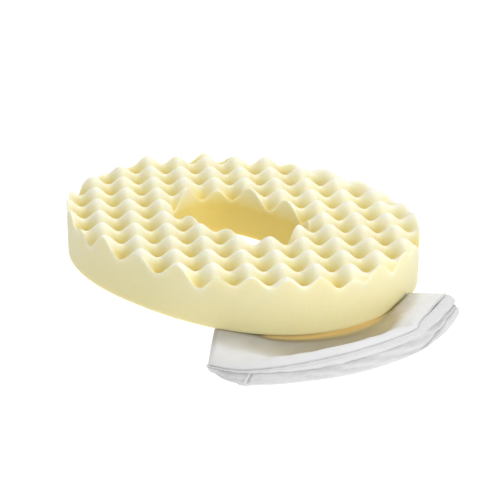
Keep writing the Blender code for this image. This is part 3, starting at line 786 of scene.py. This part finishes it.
def make_band():
    one = np.ones(len(T))
    zs, zc, z2 = seam_height(T), crease_height(T), second_height(T)
    os_, oc, deep = seam_out(T), crease_out(T), second_depth(T)
    of = floor_out(T)
    h, ox = zs - zc, oc - os_
    # the first strip: from the top seam, over its belly, into the crease
    upper = [(os_ - 0.0014, zs - 0.0016),
             (os_ + 0.0004, zs - 0.0012),
             (os_ + 0.0018 + ox * 0.10, zs - 0.0006 - 0.04 * h),
             (os_ + 0.0034 + ox * 0.30, zs - 0.0006 - 0.17 * h),
             (os_ + 0.0036 + ox * 0.55, zs - 0.42 * h),
             (oc + 0.0014, zc + 0.22 * h),
             (oc - 0.0006, zc + 0.04 * h),
             (oc - 0.0030, zc + 0.0002),
             (oc - 0.0130, zc + 0.0004),
             (oc - 0.0240, zc + 0.0012),
             (oc - 0.0140, zc + 0.0024),
             (oc - 0.0060, zc + 0.0028)]
    # the lower strip: its own roll, then a second crease that opens to the right
    zl = zc - 0.0012
    lower = [(oc - 0.0260, zl - 0.0014),
             (oc - 0.0130, zl - 0.0006),
             (oc - 0.0040, zl - 0.0001),
             (oc - 0.0008, zl - 0.16 * (zl - z2)),
             (oc * 0.6 + 0.0014 + 0.25 * of, z2 + 0.45 * (zl - z2)),
             (0.0020 - 0.45 * deep + 0.5 * of, z2 + 0.10 * (zl - z2)),
             (0.0024 - 1.15 * deep + 0.6 * of, z2 - 0.02 * z2),
             (0.0026 - 0.10 * deep + 0.75 * of, z2 - 0.16 * z2),
             (0.0030 + 0.85 * of, 0.0032 + 0.45 * (z2 - 0.0032)),
             (0.0022 + 0.95 * of, 0.0032 + 0.12 * (z2 - 0.0032)),
             (0.0006 + of, 0.0030 * one),
             (-0.0040 + of, 0.0028 * one),
             (-0.0150 + of, 0.0025 * one)]
    # lengths of the band that are folded in between the plies
    inside = []
    for a, b in ((0.93, 0.80), (0.62, 0.48)):
        inside.append([(-0.0110 * one, zc * a), (-0.022 * one, zc * (a - 0.01)), (-0.036 * one, zc * (a + b) / 2),
                       (-0.024 * one, zc * (b + 0.01)), (-0.0110 * one, zc * b)])
    grids = []
    for prof, steps, level in ((upper, 5, 0.90), (lower, 5, 0.87), (inside[0], 3, 0.78), (inside[1], 3, 0.64)):
        rows = []
        for o, z in through(prof, steps):
            row = at_front(o, z)
            # what is folded in stays below the sagging upper ply
            held = smoothstep((-o - 0.0105) / 0.004)
            below = np.minimum(z, cover_top(row[:, 0], row[:, 1]) * level)
            row[:, 2] = z + (below - z) * held
            # both strips are pressed flat where they turn in at the folded side
            if prof is upper or prof is lower:
                middle = 0.5 * (zs + zc) if prof is upper else 0.5 * (zc + 0.003)
                press = np.where(T > 0.5, 0.10 + 0.90 * smoothstep(WFC / 0.34), 1.0)
                row[:, 2] = middle + (row[:, 2] - middle) * press
            rows.append(row)
        grids.append(np.array(rows))
    for k in (0, 1):
        g = grids[k]
        x, y, z = g[..., 0], g[..., 1], g[..., 2]
        s = T[None, :] * 0.33 + 0 * z
        low = smoothstep((z - 0.0035) / 0.004)
        puck = 0.00050 * smooth_noise(s + 0.0 * z, 3.0 * z + 0.6 * s, 11 + k, 0.030) \
            + 0.00030 * smooth_noise(s, 2.0 * z, 21 + k, 0.010)
        # long soft drapes that run down towards the left
        drape = 0.0009 * np.sin(2 * np.pi * (z / 0.0095 + s / 0.052) + 1.0) * smoothstep((T[None, :] - 0.3) / 0.2) \
            * (1 - smoothstep((T[None, :] - 0.86) / 0.1))
        # the pull beside the join seam
        pull = 0.0
        if k == 1:
            pull = -0.0030 * np.exp(-((s - join_at(z)) / 0.0013) ** 2) \
                + 0.0012 * np.exp(-((s - join_at(z) + 0.0032) / 0.0022) ** 2)
        shift = (puck + (drape if k == 1 else 0.35 * drape)) * low + pull * low
        g[..., 0] += NORM[COLS][None, :, 0] * shift
        g[..., 1] += NORM[COLS][None, :, 1] * shift
    return grids


BAND = make_band()
band = cloth_piece("cover_side_band", [(g[:, ::-1], False) for g in BAND],
                   mat=BAND_CLOTH_SHADED)
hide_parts("cover_upper_band", "cover_lower_band", "cover_band_end")


# ------------------------------------------------------------------- seams --
def tube(name, path, radius, mat, sides=8, squash=1.0, lumps=None):
    """A closed tube along a path of points, with lumps as a radius factor."""
    path = np.asarray(path, float)
    d = np.gradient(path, axis=0)
    d /= np.linalg.norm(d, axis=1)[:, None]
    a = np.cross(d, np.array([0.0, 0.0, 1.0]))
    a /= np.maximum(np.linalg.norm(a, axis=1), 1e-9)[:, None]
    b = np.cross(d, a)
    size = radius * (lumps if lumps is not None else np.ones(len(path)))
    verts, faces = [], []
    for k in range(sides):
        w = 2 * np.pi * k / sides
        verts.append(path + a * (math.cos(w) * size)[:, None] + b * (math.sin(w) * squash * size)[:, None])
    grid = np.stack(verts, axis=1)                # along, around, 3
    count = len(path)
    flat = grid.reshape(-1, 3)
    for i in range(count - 1):
        for k in range(sides):
            k2 = (k + 1) % sides
            faces.append((i * sides + k, i * sides + k2, (i + 1) * sides + k2, (i + 1) * sides + k))
    faces.append(tuple(range(sides - 1, -1, -1)))
    faces.append(tuple(range((count - 1) * sides, count * sides)))
    mesh = bpy.data.meshes.new(name)
    mesh.from_pydata(list(map(tuple, flat)), [], faces)
    mesh.materials.append(mat)
    bm = bmesh.new()
    bm.from_mesh(mesh)
    bmesh.ops.recalc_face_normals(bm, faces=bm.faces)
    bm.to_mesh(mesh)
    bm.free()
    mesh.shade_smooth()
    obj = bpy.data.objects.new(name, mesh)
    bpy.context.scene.collection.objects.link(obj)
    return obj


THREAD, ttree, tshader = new_material("seam_thread", srgb(228, 228, 228), 0.6)
tcoord = node(ttree, "ShaderNodeTexCoord")
ttwist = node(ttree, "ShaderNodeTexWave", Scale=900.0)
ttree.links.new(tcoord.outputs["Object"], ttwist.inputs["Vector"])
tbump = node(ttree, "ShaderNodeBump", Strength=0.4, Distance=0.0001)
ttree.links.new(ttwist.outputs["Fac"], tbump.inputs["Height"])
ttree.links.new(tbump.outputs["Normal"], tshader.inputs["Normal"])
ttint = ramp(ttree, [(0.0, srgb(214, 214, 214)), (1.0, srgb(235, 235, 235))], ttwist.outputs["Fac"])
ttree.links.new(ttint.outputs["Color"], tshader.inputs["Base Color"])

# the top seam's rolled allowance, and the bottom seam's roll
good = (WFC > np.where(T < 0.5, 0.75, 0.45)) & (T > 0.022)
roll_path = at_front(seam_out(T) - 0.0003, seam_height(T) - 0.0002)[good]
waver = 1 + 0.10 * smooth_noise(T[good] * 0.33, 0 * T[good], 5, 0.012)
# the roll is painted darker (painted shade) to draw the seam's shadow line
top_roll = tube("top_seam_roll", roll_path, 0.00100, SEAM_CLOTH_SHADED, 10, lumps=waver)
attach(top_roll, "folded_cover")
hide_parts("seam_top")
foot_path = at_front(floor_out(T) + 0.0002, np.full(len(T), 0.0026))[good]
bottom_roll = tube("bottom_seam_roll", foot_path, 0.0008, CLOTH, 8)
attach(bottom_roll, "folded_cover")
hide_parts("seam_bottom")


def stitches(name, path, lift, length, gap):
    """Short raised dashes of thread along a path."""
    seg = np.linalg.norm(np.diff(path, axis=0), axis=1)
    along = np.concatenate([[0], np.cumsum(seg)])
    parts = []
    s = gap
    while s + length < along[-1] - gap:
        q = np.linspace(s, s + length, 5)
        pts = np.stack([np.interp(q, along, path[:, k]) for k in range(3)], axis=1)
        pts[:, 2] += lift * np.sin(np.linspace(0.15, np.pi - 0.15, 5))
        parts.append(tube(name, pts, 0.00022, THREAD, 6))
        s += length + gap
    bm = bmesh.new()
    for part in parts:
        bm.from_mesh(part.data)
        mesh = part.data
        bpy.data.objects.remove(part)
        bpy.data.meshes.remove(mesh)
    mesh = bpy.data.meshes.new(name)
    bm.to_mesh(mesh)
    bm.free()
    mesh.materials.append(THREAD)
    mesh.shade_smooth()
    obj = bpy.data.objects.new(name, mesh)
    bpy.context.scene.collection.objects.link(obj)
    return obj


# the join across the lower strip, with the knot where it meets the bottom seam
lower_grid = BAND[1]
join_path = []
for i in range(16, 53):
    c = int(np.argmin(np.abs(T * 0.33 - join_at(lower_grid[i, int(len(T) * 0.17), 2]))))
    join_path.append(lower_grid[i, c])
join_path = np.array(join_path)
join = tube("band_join_seam", join_path, 0.00055, JOIN_CLOTH_SHADED, 8)
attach(join, "folded_cover")
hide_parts("seam_band_join")
kc = int(np.argmin(np.abs(T - 0.160)))
k0 = at_front(floor_out(T) + 0.0010, np.full(len(T), 0.0022))
knot_path = k0[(kc - 9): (kc + 7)]
knot = tube("seam_pucker", knot_path, 0.0016, CLOTH, 10,
            lumps=0.25 + np.sin(np.linspace(0.1, np.pi - 0.1, len(knot_path))) ** 0.8)
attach(knot, "folded_cover")

# ------------------------------------------------- finishes on the zip side --
ALONG = Vector((math.cos(TH1), math.sin(TH1), 0.0))      # the way the zip runs


def ribbed_material(name, dark, light, roughness, pitch, depth, along, cross=None):
    """Ribs at a pitch along the zip, and threads across them if cross is set."""
    mat, tree, shader = new_material(name, light, roughness)
    coord = node(tree, "ShaderNodeTexCoord")
    turn = node(tree, "ShaderNodeMapping")
    turn.inputs["Rotation"].default_value = (0.0, 0.0, -math.atan2(along.y, along.x))
    tree.links.new(coord.outputs["Object"], turn.inputs["Vector"])
    rib = node(tree, "ShaderNodeTexWave", wave_type="BANDS", bands_direction="X",
               Scale=2 * math.pi / (20 * pitch))
    tree.links.new(turn.outputs["Vector"], rib.inputs["Vector"])
    height = rib.outputs["Fac"]
    if cross:
        weft = node(tree, "ShaderNodeTexWave", wave_type="BANDS", bands_direction="Z",
                    Scale=2 * math.pi / (20 * cross))
        tree.links.new(turn.outputs["Vector"], weft.inputs["Vector"])
        both = node(tree, "ShaderNodeMath", operation="MULTIPLY")
        tree.links.new(rib.outputs["Fac"], both.inputs[0])
        tree.links.new(weft.outputs["Fac"], both.inputs[1])
        height = both.outputs["Value"]
    tint = ramp(tree, [(0.1, dark), (0.75, light)], height)
    tree.links.new(tint.outputs["Color"], shader.inputs["Base Color"])
    bump = node(tree, "ShaderNodeBump", Strength=0.8, Distance=depth)
    tree.links.new(height, bump.inputs["Height"])
    tree.links.new(bump.outputs["Normal"], shader.inputs["Normal"])
    return mat, tree, shader


def nickel_material():
    mat, tree, shader = new_material("zip_nickel", (0.66, 0.65, 0.62), 0.3, 1.0)
    coord = node(tree, "ShaderNodeTexCoord")
    cloud = node(tree, "ShaderNodeTexNoise", Scale=420.0, Detail=5.0, Roughness=0.6)
    tree.links.new(coord.outputs["Object"], cloud.inputs["Vector"])
    tint = ramp(tree, [(0.3, (0.56, 0.55, 0.52)), (0.7, (0.74, 0.73, 0.70))], cloud.outputs["Fac"])
    tree.links.new(tint.outputs["Color"], shader.inputs["Base Color"])
    rough = node(tree, "ShaderNodeMapRange")
    rough.inputs["To Min"].default_value = 0.22
    rough.inputs["To Max"].default_value = 0.46
    tree.links.new(cloud.outputs["Fac"], rough.inputs["Value"])
    tree.links.new(rough.outputs["Result"], shader.inputs["Roughness"])
    brushed = node(tree, "ShaderNodeTexNoise", Scale=1500.0, Detail=3.0)
    tree.links.new(coord.outputs["Object"], brushed.inputs["Vector"])
    bump = node(tree, "ShaderNodeBump", Strength=0.25, Distance=0.00005)
    tree.links.new(brushed.outputs["Fac"], bump.inputs["Height"])
    tree.links.new(bump.outputs["Normal"], shader.inputs["Normal"])
    return mat


NICKEL = nickel_material()


def finish(name, mat=None, **ribs):
    """Puts a material on a CAD node that shows as it is."""
    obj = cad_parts[name]
    if mat is None:
        way = obj.matrix_world.to_3x3().inverted() @ ALONG
        mat = ribbed_material(name, along=way, **ribs)[0]
    if not obj.material_slots:
        obj.data.materials.append(mat)
    for each in obj.material_slots:
        each.material = mat


for each in ("zip_strip_lower", "zip_strip_upper"):
    finish(each, BAND_CLOTH_SHADED)
for each in ("zip_tape_lower", "zip_tape_upper"):
    finish(each, dark=srgb(196, 196, 194), light=srgb(231, 231, 229), roughness=0.8,
           pitch=0.0007, depth=0.00015, cross=0.0006)
# painted shade: the grooves between the coil's turns are painted dark grey, the turns light
for each in ("zip_coil_lower", "zip_coil_upper"):
    finish(each, dark=srgb(120, 120, 118), light=srgb(236, 236, 233), roughness=0.38,
           pitch=0.0011, depth=0.0005)
for each in ("zip_stop_far", "zip_stop_near", "zip_slider", "zip_pull_tab"):
    finish(each, NICKEL)
finish("care_label", dark=srgb(226, 226, 224), light=srgb(242, 242, 240), roughness=0.45,
       pitch=0.0005, depth=0.00006, cross=0.0005)

# ------------------------------------------------------------ floor, lights --
floor_mat, ftree, fshader = new_material("studio_floor", (0.28, 0.28, 0.28), 0.95)
fshader.inputs["Specular IOR Level"].default_value = 0.0
fshader.inputs["Emission Color"].default_value = (1.0, 1.0, 1.0, 1.0)
fshader.inputs["Emission Strength"].default_value = 0.93
bpy.ops.mesh.primitive_plane_add(size=14.0, location=(0, 0, 0))
floor = bpy.context.object
floor.name = "studio_floor"
floor.data.materials.append(floor_mat)

world = bpy.data.worlds.new("studio")
bpy.context.scene.world = world
world.use_nodes = True
bg = world.node_tree.nodes["Background"]
bg.inputs["Color"].default_value = (1.0, 1.0, 1.0, 1.0)
bg.inputs["Strength"].default_value = 0.42


def area_light(name, place, target, size, power, colour=(1, 1, 1)):
    data = bpy.data.lights.new(name, "AREA")
    data.shape = "SQUARE"
    data.size = size
    data.energy = power
    data.color = colour
    obj = bpy.data.objects.new(name, data)
    obj.location = place
    way = Vector(target) - Vector(place)
    obj.rotation_euler = way.to_track_quat("-Z", "Y").to_euler()
    bpy.context.scene.collection.objects.link(obj)


def from_camera(r, u, a):
    """A point r to the camera's right, u up and a towards the camera."""
    base = np.array([0.0, 0.0, 0.05])
    flat_right = right
    flat_ahead = np.array([-math.sin(AZ), math.cos(AZ), 0.0])
    return tuple(base + flat_right * r + np.array([0, 0, 1.0]) * u - flat_ahead * a)


area_light("key", from_camera(1.5, 0.9, 1.5), (0, 0, 0.05), 1.0, 20)
area_light("fill", from_camera(0.0, 0.3, 1.9), (0.08, -0.08, 0.02), 1.0, 3.4)
area_light("top", from_camera(0.1, 2.0, -0.7), (0, 0, 0.05), 1.0, 27)

bpy.context.scene.view_settings.view_transform = "Standard"
